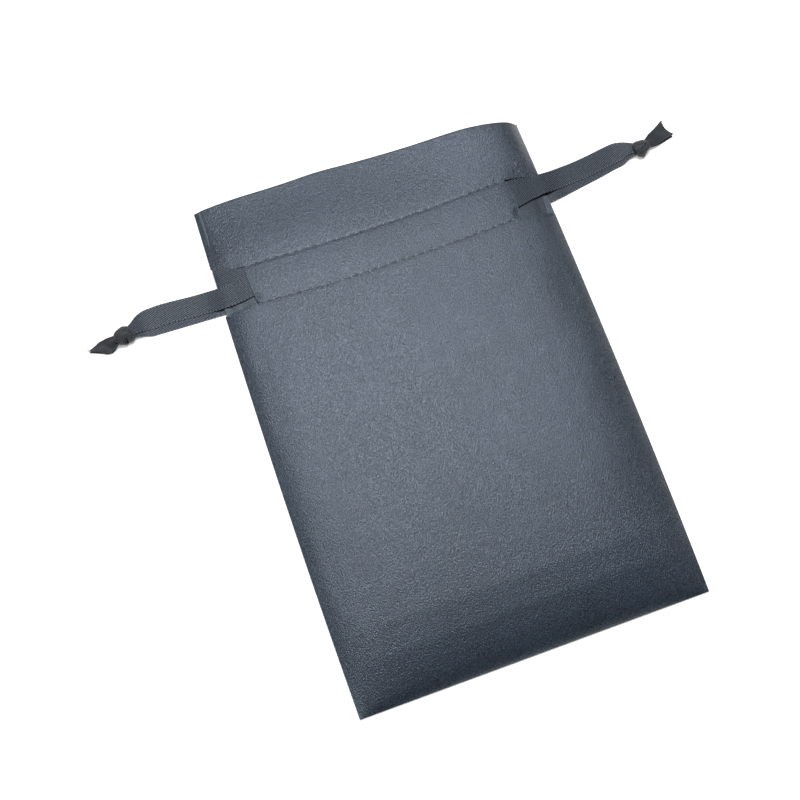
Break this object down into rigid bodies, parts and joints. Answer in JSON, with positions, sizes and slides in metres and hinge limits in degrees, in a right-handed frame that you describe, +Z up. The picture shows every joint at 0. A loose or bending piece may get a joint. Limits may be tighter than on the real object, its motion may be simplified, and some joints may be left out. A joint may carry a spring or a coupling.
{
  "type": "drawstring gift pouch",
  "caption": "Flat satin gift pouch with a stitched channel near its mouth and two ribbon drawstrings, each knotted outside its own side slit.",
  "frame": {"origin": "middle of the back panel's flat underside, on the table", "axes": "+Y along the pouch towards its mouth, +X across it towards the right-hand drawstring's knot, +Z up from the table to the front panel"},
  "size_m": [0.1883, 0.15, 0.0078],
  "materials": {
    "satin": "dark slate polyester satin with a soft sheen",
    "satin_inside": "the satin's duller turned-in side",
    "ribbon": "dark slate woven ribbon with a diagonal twill",
    "thread": "dark spun polyester sewing thread"
  },
  "bodies": {
    "root": {"front_panel": "satin", "back_panel": "satin", "front_hem": "satin_inside", "back_hem": "satin_inside", "front_upper_stitching": "thread", "front_lower_stitching": "thread", "back_upper_stitching": "thread", "back_lower_stitching": "thread", "body_seam": "thread", "left_header_seam": "thread", "right_header_seam": "thread"},
    "left_drawstring": {"left_drawstring": "ribbon"},
    "left_free_ends": {"left_front_strand": "ribbon", "left_back_strand": "ribbon", "left_knot": "ribbon", "left_front_tail": "ribbon", "left_back_tail": "ribbon"},
    "right_drawstring": {"right_drawstring": "ribbon"},
    "right_free_ends": {"right_front_strand": "ribbon", "right_back_strand": "ribbon", "right_knot": "ribbon", "right_front_tail": "ribbon", "right_back_tail": "ribbon"}
  },
  "joints": [
    {"name": "left_pull", "type": "slide", "parent": "root", "child": "left_drawstring", "axis": [-1, 0, 0], "range_m": [0, 0.025], "deforming": ["front_hem", "back_hem"]},
    {"name": "right_pull", "type": "slide", "parent": "root", "child": "right_drawstring", "axis": [1, 0, 0], "range_m": [0, 0.025], "deforming": ["front_hem", "back_hem"]},
    {"name": "left_lift", "type": "hinge", "parent": "left_drawstring", "child": "left_free_ends", "pos_m": [-0.058, 0.047, 0.0004], "axis": [0, 1, 0], "range_deg": [0, 60]},
    {"name": "right_lift", "type": "hinge", "parent": "right_drawstring", "child": "right_free_ends", "pos_m": [0.058, 0.0532, 0.0004], "axis": [0, -1, 0], "range_deg": [0, 60]}
  ]
}
